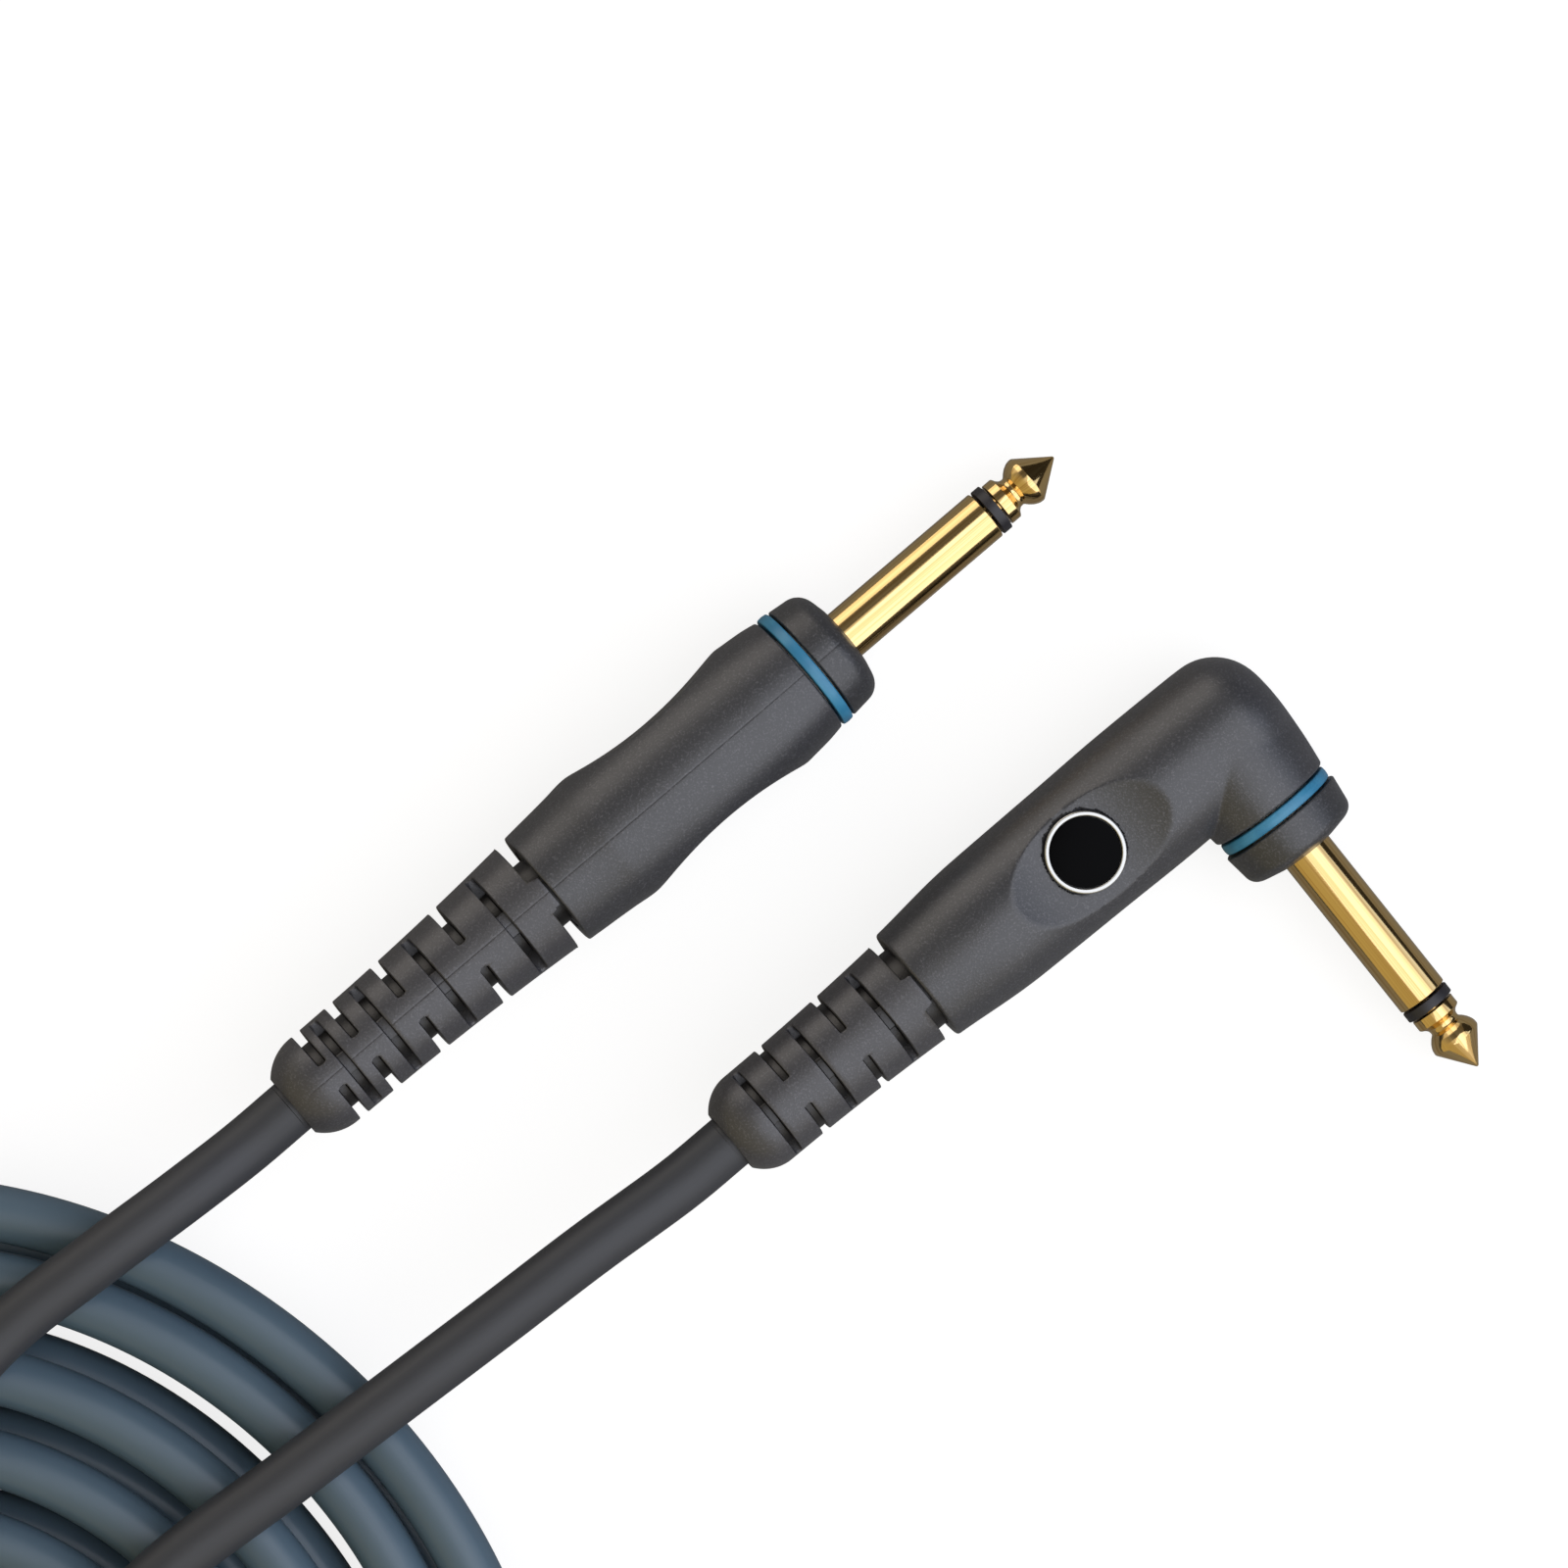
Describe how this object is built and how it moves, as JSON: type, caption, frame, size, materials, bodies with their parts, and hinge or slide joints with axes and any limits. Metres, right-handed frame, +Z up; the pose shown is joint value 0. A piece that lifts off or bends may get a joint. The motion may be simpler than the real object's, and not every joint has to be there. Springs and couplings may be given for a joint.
{
  "type": "instrument cable",
  "caption": "Shielded instrument cable with a straight moulded phone plug and a right-angle moulded phone plug, slotted strain reliefs and a coiled length.",
  "frame": {"origin": "middle of the two plugs' common box, on the surface that the cable lies on", "axes": "+Z up from the surface; +X along the longer side of the two plugs' box, with the straight plug's tip towards +X and +Y"},
  "size_m": [0.2433, 0.2151, 0.0223],
  "materials": {
    "gold": "polished gold plate",
    "insulator": "moulded black",
    "stamped_brass": "stamped, dull",
    "carrier": "natural moulded plastic",
    "grip": "fine-grained charcoal",
    "nose": "fine-grained charcoal",
    "ring": "steel blue, smooth",
    "relief": "soft, matte charcoal",
    "jacket": "smooth slate jacket",
    "core": "white insulation",
    "copper": "bare copper",
    "rim": "bright rim",
    "badge": "gloss black dome, bare"
  },
  "bodies": {
    "root": {"straight_tip": "gold", "straight_tip_insulator": "insulator", "straight_rod_insulator": "insulator", "straight_sleeve": "gold", "straight_rear_insulator": "insulator", "straight_tip_lug": "stamped_brass", "straight_ground_clamp": "stamped_brass", "straight_inner_mould": "carrier", "straight_grip": "grip", "straight_colour_ring": "ring", "straight_nose_cap": "nose", "straight_strain_relief": "relief", "straight_cable_end": "jacket", "straight_core_insulation": "core", "straight_core_wire": "copper", "straight_shield_pigtail": "copper", "angled_tip": "gold", "angled_tip_insulator": "insulator", "angled_rod_insulator": "insulator", "angled_sleeve": "gold", "angled_rear_insulator": "insulator", "angled_tip_lug": "stamped_brass", "angled_ground_clamp": "stamped_brass", "angled_inner_mould": "carrier", "angled_grip": "grip", "angled_colour_ring": "ring", "angled_nose_cap": "nose", "angled_strain_relief": "relief", "angled_cable_end": "jacket", "angled_core_insulation": "core", "angled_core_wire": "copper", "angled_shield_pigtail": "copper", "angled_badge_rim": "rim", "angled_badge_disc": "badge", "cable_lead_straight": "jacket", "cable_coil": "jacket", "cable_lead_angled": "jacket"}
  },
  "joints": []
}
